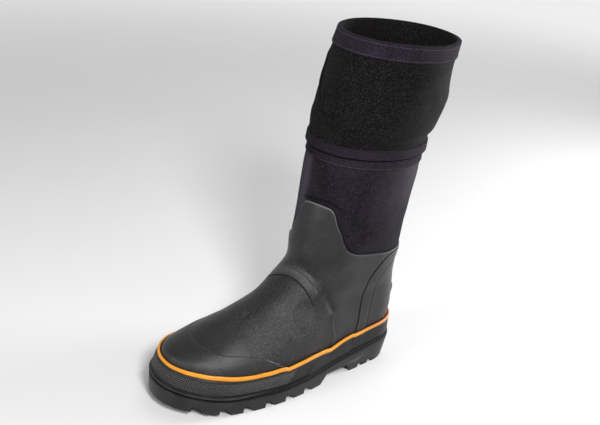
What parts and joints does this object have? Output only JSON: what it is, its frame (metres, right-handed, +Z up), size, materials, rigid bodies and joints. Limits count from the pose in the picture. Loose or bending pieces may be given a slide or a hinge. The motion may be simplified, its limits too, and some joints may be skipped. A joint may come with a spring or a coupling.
{
  "type": "wader boot",
  "caption": "Left wader boot: rubber foot shell with tab and lugged sole over a neoprene sock and the lower end of the leg, hollow from collar to toe.",
  "frame": {"origin": "on the floor under the middle of the heel, on the flat of the heel's uncut spine", "axes": "+Z up along the shaft and the leg, -Y to the toe, +X to the outer side of the foot"},
  "size_m": [0.139, 0.3538, 0.4006],
  "materials": {
    "sole_rubber": "matt dark grey moulded rubber",
    "insole_foam": "cloth-faced foam",
    "shell_rubber": "fine-grained black rubber with a low sheen",
    "band_rubber": "black rubber with a fine diamond texture at the toe",
    "piping_rubber": "smooth orange rubber",
    "neoprene": "blue-black knit-faced neoprene",
    "seam_tape": "purple-black woven tape",
    "leg_neoprene": "black neoprene with a fine nap"
  },
  "bodies": {
    "root": {"outsole": "sole_rubber", "insole": "insole_foam", "upper": "shell_rubber", "rubber_band": "band_rubber", "piping_stripe": "piping_rubber", "toe_cap": "shell_rubber", "instep_bridge": "shell_rubber", "ankle_strip": "shell_rubber", "heel_spur": "shell_rubber", "neoprene_sock": "neoprene", "shaft_tape": "seam_tape", "leg": "leg_neoprene", "leg_tape": "seam_tape", "leg_hem": "seam_tape"}
  },
  "joints": []
}
